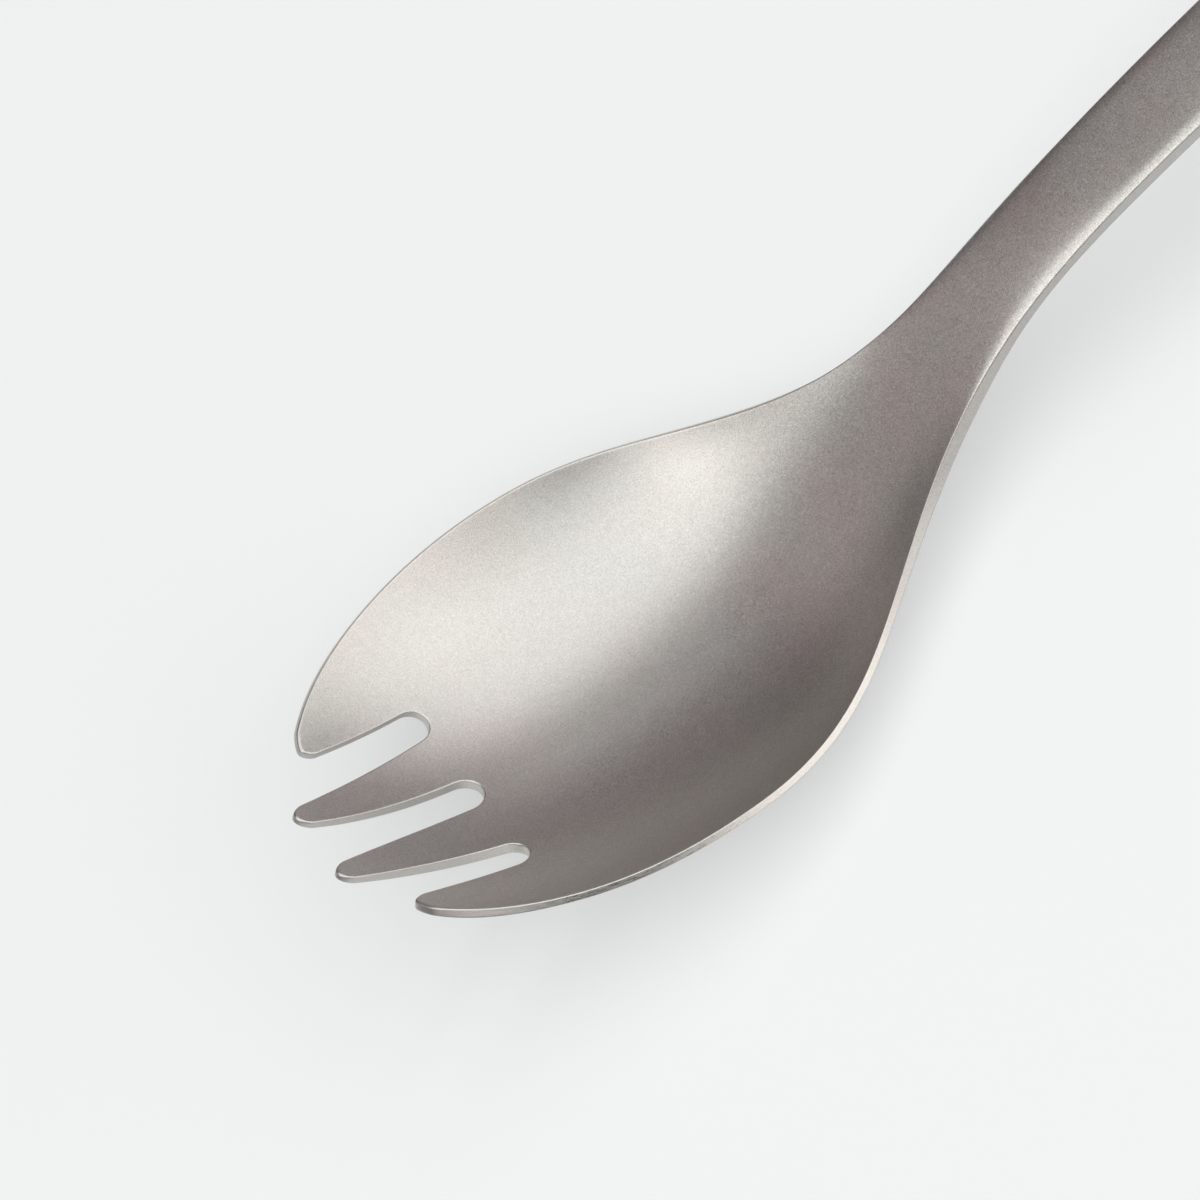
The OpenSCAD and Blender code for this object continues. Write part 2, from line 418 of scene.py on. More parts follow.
@dataclass
class Blank:
    """The flat sheet, cut to the outline and softened along its edges."""

    sheet: SheetSizes
    tines: TineSizes = field(default_factory=TineSizes)
    edge: EdgeSizes = field(default_factory=EdgeSizes)
    fine: MeshSizes = field(default_factory=MeshSizes)

    def slot_y(self, s: float) -> float:
        """Middle line of a side slot at distance s."""
        root = self.sheet.half_width(self.sheet.slot_length) * self.tines.root_share
        return root - (self.sheet.slot_length - s) * math.tan(self.tines.lean)

    def outer_tine(self, s: float, side: Side, opened: float) -> float:
        """Place across the spork of one side of an outer tine.

        Args:
            s: distance from the tips.
            side: which side of the tine.
            opened: how far the tine has opened out from its tip, from 0 to 1.

        Returns:
            The distance from the middle line.
        """
        inner = self.slot_y(s) + self.tines.side.half(s)
        share = mix(self.tines.tip_share, side.value, opened)
        return mix(inner, self.sheet.half_width(s), share)

    def inner_tine(self, s: float, side: Side, opened: float) -> float:
        """Place across the spork of one side of a middle tine; see outer_tine."""
        inner = self.tines.middle.half(s)
        outer = self.slot_y(s) - self.tines.side.half(s)
        share = mix(self.tines.tip_share, side.value, opened)
        return mix(inner, outer, share)

    def slot_side(
        self, tine: Callable, side: Side, slot: Slot, tip: float, tip_round: float
    ) -> list[Triple]:
        """One side of a tine, from the slot's end to the tip.

        Args:
            tine: outer_tine or inner_tine.
            side: which side of the tine.
            slot: the slot on that side.
            tip: place of the tine's tip along the spork.
            tip_round: length over which the tip is rounded.

        Returns:
            Points (s, y, nearness to the tip).
        """
        radius = slot.width / 2
        straight = slot.length - radius
        turns = quarter(self.fine.round_end_steps)[:-1]
        places = [(straight + radius * math.cos(a), 1.0) for a in turns]
        count = round((straight - tip - tip_round) / self.fine.outline_step)
        places += [(mix(straight, tip + tip_round, k / count), 1.0) for k in range(count)]
        places += self.tip_places(tip, tip_round)[::-1]
        return [(s, tine(s, side, opened), self.tipness(s - tip)) for s, opened in places]

    def tip_places(self, tip: float, tip_round: float) -> list[tuple[float, float]]:
        """Places along a rounded tip, from its end: pairs of s and opening."""
        turns = quarter(self.fine.tip_steps)
        return [(tip + tip_round * (1 - math.cos(a)), math.sin(a)) for a in turns]

    def tipness(self, past: float) -> float:
        """1 at a tine's tip, falling to 0 along the tine."""
        return 1 - ease(past, 0, self.edge.tip_reach)

    def half_outline(self) -> np.ndarray:
        """Outline of one half, from the middle slot's end round to the handle's end.

        Returns:
            Rows of s, y and nearness to a tip.
        """
        sheet, tines = self.sheet, self.tines
        inner = (0.0, tines.inner_tip_round)
        outer = (sheet.outer_setback, tines.outer_tip_round)
        points = self.slot_side(self.inner_tine, Side.INNER, tines.middle, *inner)
        points += self.slot_side(self.inner_tine, Side.OUTER, tines.side, *inner)[-2::-1]
        points += self.slot_side(self.outer_tine, Side.INNER, tines.side, *outer)[1:]
        points += [
            (s, self.outer_tine(s, Side.OUTER, opened), self.tipness(s - sheet.outer_setback))
            for s, opened in self.tip_places(*outer)[1:]
        ]
        start, end = sum(outer), sheet.end_centre
        count = round((end - start) / self.fine.outline_step)
        for k in range(1, count + 1):
            s = mix(start, end, k / count)
            points.append((s, sheet.half_width(s), self.tipness(s - sheet.outer_setback)))
        points += [(s, y, 0.0) for s, y in self.end_arc(0.0)[1:]]
        return np.array(points)

    def end_arc(self, e: float) -> list[tuple[float, float]]:
        """Quarter of the rounded end, from its side to the middle line.

        Args:
            e: distance in from the edge.

        Returns:
            Points (s, y).
        """
        radius = self.sheet.end_width / 2
        turns = quarter(round(radius * math.pi / 2 / self.fine.step))
        centre, reach = self.sheet.end_centre, radius - e
        return [(centre + reach * math.sin(a), reach * math.cos(a)) for a in turns]

    def outline(self) -> np.ndarray:
        """The closed outline, anticlockwise seen from above.

        Returns:
            Rows of s, y and nearness to a tip.
        """
        half = self.half_outline()
        half[0, 1] = half[-1, 1] = 0.0
        other = half[-2:0:-1] * (1, -1, 1)
        return np.concatenate([half, other])[::-1]

    def nearest(self, points: np.ndarray, outline: np.ndarray) -> tuple[np.ndarray, np.ndarray]:
        """Distance from points to the outline, and how near that place is to a tip.

        Args:
            points: rows of s, y.
            outline: the closed outline.

        Returns:
            The distances and the nearness to a tip.
        """
        start = outline[:, :2]
        along = np.roll(start, -1, axis=0) - start
        length2 = (along**2).sum(1)
        far, tips = [], []
        for k in range(0, len(points), self.fine.chunk):
            offset = points[k : k + self.fine.chunk, None] - start
            share = np.clip((offset * along).sum(2) / length2, 0, 1)
            gap = np.linalg.norm(offset - share[..., None] * along, axis=2)
            best = gap.argmin(1)
            rows = np.arange(len(best))
            share = share[rows, best]
            far.append(gap[rows, best])
            tip = outline[:, 2]
            tips.append(tip[best] * (1 - share) + np.roll(tip, -1)[best] * share)
        return np.concatenate(far), np.concatenate(tips)

    def rings(self, outline: np.ndarray) -> np.ndarray:
        """Rows of points just inside the outline, for its rounded edge.

        Args:
            outline: the closed outline.

        Returns:
            Rows of s, y.
        """
        fine, plan = self.fine, outline[:, :2]
        along = np.roll(plan, -1, axis=0) - np.roll(plan, 1, axis=0)
        inward = np.stack([-along[:, 1], along[:, 0]], 1)
        inward /= np.linalg.norm(inward, axis=1)[:, None]
        radius, _ = self.edge.radii(outline[:, 2])
        turns = quarter(fine.round_steps)[1:]
        insets = [radius * (1 - math.cos(a)) for a in turns] + [radius + e for e in fine.settle]
        kept = []
        for inset in insets:
            ring = plan + inward * inset[:, None]
            gap, _ = self.nearest(ring, outline)
            kept.append(ring[gap > inset * fine.kept_share])
        return np.concatenate(kept)

    def rail_lines(self) -> list[np.ndarray]:
        """Lines along the handle and round its end, where its shoulders are rounded.

        Returns:
            One array of s, y for each line.
        """
        fine, sheet = self.fine, self.sheet
        count = round((sheet.end_centre - fine.rail_start) / fine.step)
        places = [mix(fine.rail_start, sheet.end_centre, k / count) for k in range(count)]
        lines = []
        for e in fine.rails:
            side = [(s, sheet.half_width(s) - e) for s in places] + self.end_arc(e)
            lines.append(np.array(side + [(s, -y) for s, y in side[-2::-1]]))
        return lines

    def grid(self, outline: np.ndarray) -> np.ndarray:
        """Even points for the middle of the sheet.

        Args:
            outline: the closed outline.

        Returns:
            Rows of s, y.
        """
        fine, sheet = self.fine, self.sheet
        row_step = fine.step * math.sqrt(3) / 2
        rows = int(sheet.bowl_width / 2 / row_step)
        points = []
        for row in range(-rows, rows + 1):
            shift = fine.step / 2 * (row % 2)
            s = np.arange(shift, sheet.length, fine.step)
            points.append(np.stack([s, np.full_like(s, row * row_step)], 1))
        points = np.concatenate(points)
        points = points[np.abs(points[:, 1]) < self.half_widths(points)]
        points = points[self.inside(points, outline)]
        gap, tip = self.nearest(points, outline)
        radius, _ = self.edge.radii(tip)
        needed = radius + fine.settle[-1] + fine.clearance
        in_rails = self.edge_distance(points) < fine.rails[-1] + fine.clearance
        railed = (points[:, 0] > fine.rail_start - fine.clearance) & in_rails
        return points[(gap > needed) & ~railed]

    @staticmethod
    def inside(points: np.ndarray, outline: np.ndarray) -> np.ndarray:
        """Which points lie inside the outline.

        Args:
            points: rows of s, y.
            outline: the closed outline.

        Returns:
            True for each point inside.
        """
        crossings = np.zeros(len(points), int)
        ends = np.roll(outline, -1, axis=0)
        for (s0, y0, _), (s1, y1, _) in zip(outline, ends):
            spans = (points[:, 1] < y0) != (points[:, 1] < y1)
            if spans.any():
                cut = s0 + (points[:, 1] - y0) * (s1 - s0) / (y1 - y0 or 1)
                crossings += spans & (points[:, 0] < cut)
        return crossings % 2 == 1

    def half_widths(self, points: np.ndarray) -> np.ndarray:
        """Half of the outline's width at each point, or at the end's centre past that."""
        end = self.sheet.end_centre
        return np.array([self.sheet.half_width(min(s, end)) for s in points[:, 0]])

    def edge_distance(self, points: np.ndarray) -> np.ndarray:
        """Distance in from the side of the outline, measured across the handle."""
        past = np.maximum(points[:, 0] - self.sheet.end_centre, 0)
        return np.maximum(self.half_widths(points) - np.hypot(past, points[:, 1]), 0)

    def depth(self, gap: np.ndarray, radius: np.ndarray) -> np.ndarray:
        """Fall of a rounded edge of that radius, by the gap to the outline."""
        short = np.maximum(radius - gap, 0)
        return radius - np.sqrt(np.maximum(radius**2 - short**2, 0))

    def filled(self, outline: np.ndarray) -> tuple[np.ndarray, list, list[int]]:
        """Fills the outline with points and triangles.

        Args:
            outline: the closed outline.

        Returns:
            The points as rows of s and y, the triangles, and which points form the outline.
        """
        count = len(outline)
        lines = self.rail_lines()
        points = [outline[:, :2], self.rings(outline)]
        first = sum(map(len, points))
        edges = [(k, (k + 1) % count) for k in range(count)]
        for line in lines:
            edges += [(first + k, first + k + 1) for k in range(len(line) - 1)]
            first += len(line)
        points = np.concatenate([*points, *lines, self.grid(outline)])
        plan, _, faces, sources, _, _ = geometry.delaunay_2d_cdt(
            [Vector(p) for p in points / MM], edges, [], 1, self.fine.weld
        )
        place = {old: new for new, olds in enumerate(sources) for old in olds}
        return np.array([tuple(p) for p in plan]) * MM, faces, [place[k] for k in range(count)]

    def build(self) -> bpy.types.Object:
        """Makes the blank.

        Returns:
            The blank, its upper face at height 0, with what the press needs as attributes.
        """
        outline = self.outline()
        plan, faces, ring = self.filled(outline)
        total, count = len(plan), len(ring)
        gap, tip = self.nearest(plan, outline)
        gap[ring] = 0.0
        upper, lower = self.edge.radii(tip)
        top, bottom = self.depth(gap, upper), -self.depth(gap, lower)
        steps = np.linalg.norm(np.diff(outline[:, :2], axis=0), axis=1)
        run = np.zeros(total)
        run[ring] = np.concatenate([[0.0], np.cumsum(steps)])

        levels = self.fine.wall_levels
        soft = np.concatenate([top, bottom, *(mix(top[ring], bottom[ring], k) for k in levels)])
        level = np.repeat([0.0, 1.0, *levels], [total, total, *[count] * len(levels)])
        flat, gaps, runs = (
            np.concatenate([values, values, *[values[ring]] * len(levels)])
            for values in (plan, gap, run)
        )

        starts = [2 * total + w * count for w in range(len(levels))]
        loops = [ring, *(range(k, k + count) for k in starts), [total + k for k in ring]]
        polygons = [tuple(f) for f in faces]
        polygons += [tuple(total + k for k in reversed(f)) for f in faces]
        for high, low in zip(loops, loops[1:]):
            for k in range(count):
                n = (k + 1) % count
                polygons.append((high[k], low[k], low[n], high[n]))

        mesh = bpy.data.meshes.new("blank")
        height = -(level * self.sheet.thickness + soft)
        mesh.from_pydata(np.column_stack([flat, height]).tolist(), [], polygons)
        stored = {"level": level, "softening": soft, "edge_gap": gaps, "edge_run": runs}
        for name, values in stored.items():
            self.store(mesh, name, values)
        blank = linked("blank", mesh)
        log.info("blank: %d points, %d faces", len(mesh.vertices), len(mesh.polygons))
        return blank

    @staticmethod
    def store(mesh: bpy.types.Mesh, name: str, values: np.ndarray) -> None:
        """Stores one number per point on the mesh, as a named attribute."""
        layer = mesh.attributes.new(name, "FLOAT", "POINT")
        layer.data.foreach_set("value", values.astype(np.float32))


@dataclass
class Press:
    """Shapes the flat blank with a Geometry Nodes tree.

    The middle tines' tips come to lie at `tip_x` and the lowest point at `table_z`. The
    sheet's slope is measured over a `probe` to each side.
    """

    sheet: SheetSizes
    tip_x: float
    table_z: float
    probe: float = 0.1 * MM

    def sizes(self, *names: str) -> dict[str, float]:
        """Sizes of the sheet, by the labels that they get on a group."""
        return {name.replace("_", " ").title(): getattr(self.sheet, name) for name in names}

    def group(
        self, name: str, inputs: dict[str, float], outputs: tuple[str, ...], shapes: bool = False
    ) -> tuple[Graph, dict[str, Field]]:
        """Starts a node group.

        Args:
            name: its name.
            inputs: names and defaults of its numbers.
            outputs: names of the numbers that it gives back.
            shapes: True if it takes and gives a geometry, and takes a material.

        Returns:
            The graph and the input fields by name.
        """
        tree = bpy.data.node_groups.new(name, "GeometryNodeTree")
        graph = Graph(tree)

        def socket(label: str, way: str, kind: str) -> bpy.types.NodeTreeInterfaceSocket:
            """Adds a socket to the group."""
            return tree.interface.new_socket(label, in_out=way, socket_type=f"NodeSocket{kind}")

        if shapes:
            socket("Geometry", "OUTPUT", "Geometry")
            socket("Geometry", "INPUT", "Geometry")
            socket("Material", "INPUT", "Material")
        for label, value in inputs.items():
            socket(label, "INPUT", "Float").default_value = value
        for label in outputs:
            socket(label, "OUTPUT", "Float")
        entry = graph.add("NodeGroupInput")
        return graph, {label: Field(graph, entry.outputs[label]) for label in inputs}

    def bump_group(self) -> bpy.types.NodeTree:
        """The smooth bump that spreads one profile height over its neighbours.

        Returns:
            The group.
        """
        graph, given = self.group("Bump", {"At": 0.0}, ("Weight",))
        away = abs(given["At"])
        wide, narrow = (2 - away).at_least(0), (1 - away).at_least(0)
        weight = (wide**3 - 4 * narrow**3) / 6
        return graph.closed({"Weight": weight})

    def profile_group(
        self, name: str, shares: tuple[float, ...], bump: bpy.types.NodeTree
    ) -> bpy.types.NodeTree:
        """Smooth height along the spork.

        Args:
            name: name of the group.
            shares: heights at even steps, as shares of the arch.
            bump: the bump group.

        Returns:
            The group.
        """
        sizes = {"Along": 0.0, **self.sizes("profile_step", "arch_height")}
        graph, given = self.group(name, sizes, ("Height",))
        place = given["Along"] / given["Profile Step"]
        parts = [
            graph.call(bump, {"At": place + (1 - k)})[0] * share for k, share in enumerate(shares)
        ]
        total = sum(parts[1:], parts[0]) * given["Arch Height"]
        return graph.closed({"Height": total})

    def width_group(self) -> bpy.types.NodeTree:
        """Half of the outline's width along the spork.

        Returns:
            The group.
        """
        sizes = {
            "Along": 0.0,
            **self.sizes("bowl_width", "bowl_centre", "nose_length", "shoulder_length"),
            **self.sizes("shoulder_power", "neck_width", "end_width", "widen_start", "end_centre"),
        }
        graph, given = self.group("Half Width", sizes, ("Half Width",))
        s, bowl, neck = given["Along"], given["Bowl Width"], given["Neck Width"]
        ahead = (given["Bowl Centre"] - s) / given["Nose Length"]
        nose = bowl / 2 * (1 - ahead * ahead).at_least(0).root()
        past = (s - given["Bowl Centre"]).at_least(0) / given["Shoulder Length"]
        bell = (-(past ** given["Shoulder Power"])).exp()
        widened = s.eased(given["Widen Start"], given["End Centre"])
        body = bell.mixed(neck, bowl) / 2 + (given["End Width"] - neck) / 2 * widened
        half = s.below(given["Bowl Centre"]).mixed(body, nose)
        return graph.closed({"Half Width": half})

    def height_group(self) -> bpy.types.NodeTree:
        """Height of the plain upper face, the share of the half width, and the half width.

        Returns:
            The group.
        """
        sizes = {
            "Along": 0.0,
            "Across": 0.0,
            **self.sizes("floor_power", "tine_power", "slot_length"),
            **self.sizes("outer_setback", "end_centre"),
        }
        graph, given = self.group("Sheet Height", sizes, ("Height", "Share", "Half Width"))
        bump = self.bump_group()
        keel = self.profile_group("Keel", self.sheet.keel_shares, bump)
        rim = self.profile_group("Rim", self.sheet.rim_shares, bump)
        at = given["Along"].at_least(given["Outer Setback"]).at_most(given["End Centre"])
        width = graph.call(self.width_group(), {"Along": at})[0]
        share = abs(given["Across"]) / width
        rise = graph.call(rim, {"Along": at})[0] - graph.call(keel, {"Along": at})[0]
        behind = (given["Along"] / given["Slot Length"]).at_least(0).at_most(1)
        power = behind.mixed(given["Tine Power"], given["Floor Power"])
        total = graph.call(keel, {"Along": given["Along"]})[0] + rise * share**power
        return graph.closed({"Height": total, "Share": share, "Half Width": width})

    def shoulder_group(self) -> bpy.types.NodeTree:
        """Fall of the handle's fully rounded shoulder at a distance in from its edge.

        Returns:
            The group.
        """
        sizes = {
            "Inset": 0.0,
            **self.sizes("edge_round_width", "edge_round_drop", "edge_round_power"),
        }
        graph, given = self.group("Shoulder", sizes, ("Fall",))
        short = (1 - given["Inset"] / given["Edge Round Width"]).at_least(0).at_most(1)
        fall = given["Edge Round Drop"] * short ** given["Edge Round Power"]
        return graph.closed({"Fall": fall})

    def thickness_group(self) -> bpy.types.NodeTree:
        """Thickness of the metal: thin at the tips and the bowl's rim, thick in the handle.

        Returns:
            The group.
        """
        sizes = {
            "Along": 0.0,
            "Share": 0.0,
            "Fall": 0.0,
            **self.sizes("thickness", "tip_thickness", "rim_thickness", "handle_edge_thickness"),
            **self.sizes("edge_round_drop", "tip_thin_run", "rim_thin_run", "thin_share"),
            **self.sizes("thicken_start", "thicken_run"),
        }
        graph, given = self.group("Sheet Thickness", sizes, ("Metal",))
        s, full = given["Along"], given["Thickness"]
        before = (1 - s / given["Tip Thin Run"]).at_least(0)
        floor = (before * before).mixed(full, given["Tip Thickness"])
        by_rim = given["Share"].eased(given["Thin Share"], 1) * s.eased(0, given["Rim Thin Run"])
        bowl = floor * by_rim.mixed(1, given["Rim Thickness"] / full)
        handle = given["Handle Edge Thickness"] + given["Edge Round Drop"] - given["Fall"]
        start = given["Thicken Start"]
        total = s.eased(start, start + given["Thicken Run"]).mixed(bowl, handle)
        return graph.closed({"Metal": total})

    def tree(self) -> bpy.types.NodeTree:
        """The press itself.

        Returns:
            The modifier's tree.
        """
        sizes = {
            **self.sizes("end_centre", "edge_round_start", "edge_round_run"),
            **self.sizes("flat_start", "flat_run", "flat_drop"),
            "Tip Place": self.tip_x,
            "Table Height": self.table_z,
            "Probe": self.probe,
        }
        graph, given = self.group("Press", sizes, (), shapes=True)
        entry = graph.add("NodeGroupInput").outputs

        def stored(name: str) -> Field:
            """One number stored on the blank."""
            settings = {"data_type": "FLOAT"}
            return graph.field("GeometryNodeInputNamedAttribute", settings, {"Name": name})

        position = graph.add("GeometryNodeInputPosition").outputs[0]
        split = graph.add("ShaderNodeSeparateXYZ", None, {0: position})
        s, y = (Field(graph, split.outputs[k]) for k in range(2))
        probe, sheet_height = given["Probe"], self.height_group()

        height, share, half = graph.call(sheet_height, {"Along": s, "Across": y})
        ahead, behind, left, right = (
            graph.call(sheet_height, {"Along": along, "Across": across})[0]
            for along, across in ((s + probe, y), (s - probe, y), (s, y + probe), (s, y - probe))
        )
        slope = graph.joined(behind - ahead, right - left, 2 * probe)
        normal = graph.vector("NORMALIZE", {0: slope})

        past = (s - given["End Centre"]).at_least(0)
        inset = half - (past * past + y * y).root()
        (fall,) = graph.call(self.shoulder_group(), {"Inset": inset})
        (metal,) = graph.call(self.thickness_group(), {"Along": s, "Share": share, "Fall": fall})
        start = given["Edge Round Start"]
        dropped = fall * s.eased(start, start + given["Edge Round Run"])
        start = given["Flat Start"]
        dropped = dropped + given["Flat Drop"] * s.eased(start, start + given["Flat Run"])
        sunk = stored("level") * metal + stored("softening")
        sunk = graph.vector("SCALE", {0: normal, "Scale": -sunk})
        upper = graph.joined(s + given["Tip Place"], y, height - dropped)
        place = graph.vector("ADD", {0: upper, 1: sunk})
        inputs = {"Geometry": entry["Geometry"], "Position": place}
        pressed = graph.add("GeometryNodeSetPosition", None, inputs).outputs[0]

        heights = graph.add("ShaderNodeSeparateXYZ", None, {0: position}).outputs[2]
        inputs = {"Geometry": pressed, "Attribute": heights}
        settings = {"data_type": "FLOAT"}
        lowest = graph.field("GeometryNodeAttributeStatistic", settings, inputs, "Min")
        lift = graph.joined(0.0, 0.0, given["Table Height"] - lowest)
        shape = pressed
        for kind, inputs in (
            ("GeometryNodeSetPosition", {"Offset": lift}),
            ("GeometryNodeSetShadeSmooth", {}),
            ("GeometryNodeRealizeInstances", {}),
            ("GeometryNodeSetMaterial", {"Material": entry["Material"]}),
        ):
            shape = graph.add(kind, None, {"Geometry": shape, **inputs}).outputs[0]
        return graph.closed({"Geometry": shape})

    def form(
        self, blank: bpy.types.Object, name: str, material: bpy.types.Material
    ) -> bpy.types.Object:
        """Presses the blank.

        Args:
            blank: the flat blank, which is used up.
            name: name of the finished piece.
            material: its material.

        Returns:
            The finished piece as a plain mesh.
        """
        modifier = blank.modifiers.new("press", "NODES")
        modifier.node_group = self.tree()
        for item in modifier.node_group.interface.items_tree:
            if item.in_out == "INPUT" and item.name == "Material":
                modifier[item.identifier] = material
        graph = bpy.context.evaluated_depsgraph_get()
        mesh = bpy.data.meshes.new_from_object(
            blank.evaluated_get(graph), preserve_all_data_layers=True, depsgraph=graph
        )
        mesh.name = name
        blank.modifiers.remove(modifier)
        bpy.data.objects.remove(blank)
        return linked(name, mesh)


class Weave(Enum):
    """Sizes of the unevenness in the blasted face, each with its share of the whole."""

    SPECK = (0.075 * MM, 0.72)
    GRAIN = (0.19 * MM, 0.21)
    MOTTLE = (0.8 * MM, 0.07)


@dataclass(frozen=True)
class BlastedTitanium:
    """Bead-blasted bare titanium with burnished cut edges.

    Args:
        colour: colour of the blasted face.
        blush: tint of its warmer patches and small flecks.
        patch, patch_detail: size of those patches, and how much finer detail they have.
        fleck: size of the flecks.
        blush_range: noise at which colour and blush are full.
        contrast: how far the speckle lightens and darkens the bowl, and the handle.
        neck: where along the spork the one goes over into the other.
        pit: size and spacing of small dark pits.
        pit_range: noise at which a pit starts and is full.
        pit_dark: how much darker a pit is.
        raw_calm: how much of the speckle a cut face that isn't burnished lacks.
        raw_dark: how much darker such a face is.
        roughness: roughness of the blasted face.
        grain_depth: height of the blasted grain.
        cut_colour: colour of the burnished cut faces.
        cut_roughness: their roughness.
        cut_contrast: how far streaks and speckle lighten and darken them.
        unevenness: how far speckle or streaks vary a roughness.
        cut_reach: how far the burnish reaches over the edges.
        cut_start: where along the spork the burnish fades in, behind the tines.
        cut_end: where along the spork it fades out, towards the handle.
        streak: length of a streak along the cut faces.
        streak_rows: about how many streaks lie side by side on a cut face.
        streak_detail: how much finer detail they have.
    """

    name: str = "titanium"
    colour: Triple = (0.557, 0.55, 0.526)
    blush: Triple = (0.582, 0.543, 0.524)
    patch: float = 9 * MM
    patch_detail: float = 2.0
    fleck: float = 0.13 * MM
    blush_range: float = 0.16
    contrast: tuple[float, float] = (1.25, 2.2)
    neck: tuple[float, float] = (-55 * MM, -25 * MM)
    pit: float = 0.3 * MM
    pit_range: tuple[float, float] = (0.21, 0.27)
    pit_dark: float = 0.06
    raw_calm: float = 0.6
    raw_dark: float = 0.09
    roughness: float = 0.36
    grain_depth: float = 0.016 * MM
    cut_colour: Triple = (0.64, 0.615, 0.585)
    cut_roughness: float = 0.3
    cut_contrast: float = 0.4
    unevenness: float = 0.3
    cut_reach: float = 0.1 * MM
    cut_start: tuple[float, float] = (-76 * MM, -68 * MM)
    cut_end: tuple[float, float] = (-42 * MM, -34 * MM)
    streak: float = 0.9 * MM
    streak_rows: float = 3.0
    streak_detail: float = 3.0

    def noise(
        self, graph: Graph, where: bpy.types.NodeSocket, size: float, detail: float = 1.0
    ) -> Field:
        """Noise with patches of a size, centred on 0 and mostly within a quarter of it."""
        inputs = {"Vector": where, "Scale": 1 / size, "Detail": detail}
        return graph.field("ShaderNodeTexNoise", None, inputs) - 0.5

    def burnish(self, graph: Graph, place: Field) -> tuple[Field, Field, Field]:
        """Where the metal is a cut face, and the streaks along it.

        Args:
            graph: the material's tree.
            place: place along the spork.

        Returns:
            The shares of burnished and of raw cut face, and the streaks as noise centred on 0.
        """
        gap, run, level = (
            graph.field("ShaderNodeAttribute", {"attribute_name": name}, None, "Fac")
            for name in ("edge_gap", "edge_run", "level")
        )
        on_cut = graph.joined(run / self.streak, level * self.streak_rows)
        streaks = self.noise(graph, on_cut, 1.0, self.streak_detail)
        burnished = place.eased(*self.cut_start) - place.eased(*self.cut_end)
        cut = 1 - gap.eased(0, self.cut_reach)
        return cut * burnished, cut * (1 - burnished), streaks

    def material(self) -> bpy.types.Material:
        """Builds the material.

        Returns:
            The material.
        """
        material = bpy.data.materials.new(self.name)
        material.use_nodes = True
        graph = Graph(material.node_tree)
        where = graph.add("ShaderNodeTexCoord").outputs["Object"]

        sizes = [weave.value for weave in Weave]
        weaves = [self.noise(graph, where, size) * share for size, share in sizes]
        speckle = sum(weaves[1:], weaves[0])
        pits = self.noise(graph, where, self.pit).eased(*self.pit_range)
        hue = self.noise(graph, where, self.patch, self.patch_detail)
        hue = hue + self.noise(graph, where, self.fleck)
        hue = hue.eased(-self.blush_range, self.blush_range)
        along = graph.field("ShaderNodeSeparateXYZ", None, {0: where})
        cut, raw, streaks = self.burnish(graph, along)

        face = graph.colour_mix(hue, (*self.colour, 1.0), (*self.blush, 1.0))
        contrast = along.eased(*self.neck).mixed(*self.contrast)
        tone = 1 + speckle * contrast * (1 - raw * self.raw_calm)
        tone = tone - pits * self.pit_dark - raw * self.raw_dark
        metal = graph.colour_mix(cut, face, (*self.cut_colour, 1.0))
        shade = cut.mixed(tone, 1 + streaks * self.cut_contrast + speckle * self.cut_contrast)
        face_rough = self.roughness + speckle * self.unevenness
        cut_rough = self.cut_roughness + streaks * self.unevenness
        relief = {"Strength": 1.0, "Distance": self.grain_depth, "Height": speckle}
        surface = {
            "Base Color": graph.vector("SCALE", {0: metal, "Scale": shade}),
            "Metallic": 1.0,
            "Roughness": cut.mixed(face_rough, cut_rough),
            "Normal": graph.add("ShaderNodeBump", None, relief).outputs[0],
        }
        shader = graph.add("ShaderNodeBsdfPrincipled", None, surface)
        graph.add("ShaderNodeOutputMaterial", None, {"Surface": shader.outputs[0]})
        return material


@dataclass
class Spork:
    """The whole object: one pressed sheet."""

    name: str = "spork_sheet"
    finish: BlastedTitanium = field(default_factory=BlastedTitanium)

    def build(self) -> bpy.types.Object:
        """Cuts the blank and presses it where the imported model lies.

        Returns:
            The finished sheet.
        """
        low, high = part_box(NODE)
        sheet = SheetSizes(length=high[0] - low[0])
        press = Press(sheet, low[0] + sheet.tip_overhang, low[2])
        return press.form(Blank(sheet).build(), self.name, self.finish.material())

    def place(self, piece: bpy.types.Object) -> None:
        """Puts the finished sheet in the frame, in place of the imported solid.

        Args:
            piece: the finished sheet.
        """
        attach(piece, BODY)
        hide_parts(NODE)


@dataclass(frozen=True)
class SoftBox:
    """A rectangular lamp that looks at the spork.

    Args:
        name: its name.
        side: direction from the spork to the lamp.
        distance: how far away it hangs.
        size: its two sides, the first one along the spork.
        power: its power in watts.
        colour: its colour.
        twist: turn about its own axis, in degrees.
    """

    name: str
    side: Triple
    distance: float
    size: tuple[float, float]
    power: float
    colour: Triple
    twist: float = 0.0

    def hang(self) -> bpy.types.Object:
        """Hangs the lamp.

        Returns:
            The lamp.
        """
        lamp = bpy.data.lights.new(self.name, "AREA")
        lamp.shape = "RECTANGLE"
        lamp.size, lamp.size_y = self.size
        lamp.energy = self.power
        lamp.color = self.colour
        away = Vector(self.side).normalized()
        across = away.cross(Vector((1, 0, 0))).normalized()
        turn = Matrix((across.cross(away), across, away)).transposed()
        twist = Matrix.Rotation(math.radians(self.twist), 3, "Z")
        place = Matrix.Translation(away * self.distance)
        holder = linked(self.name, lamp)
        holder.matrix_world = place @ (turn @ twist).to_4x4()
        return holder


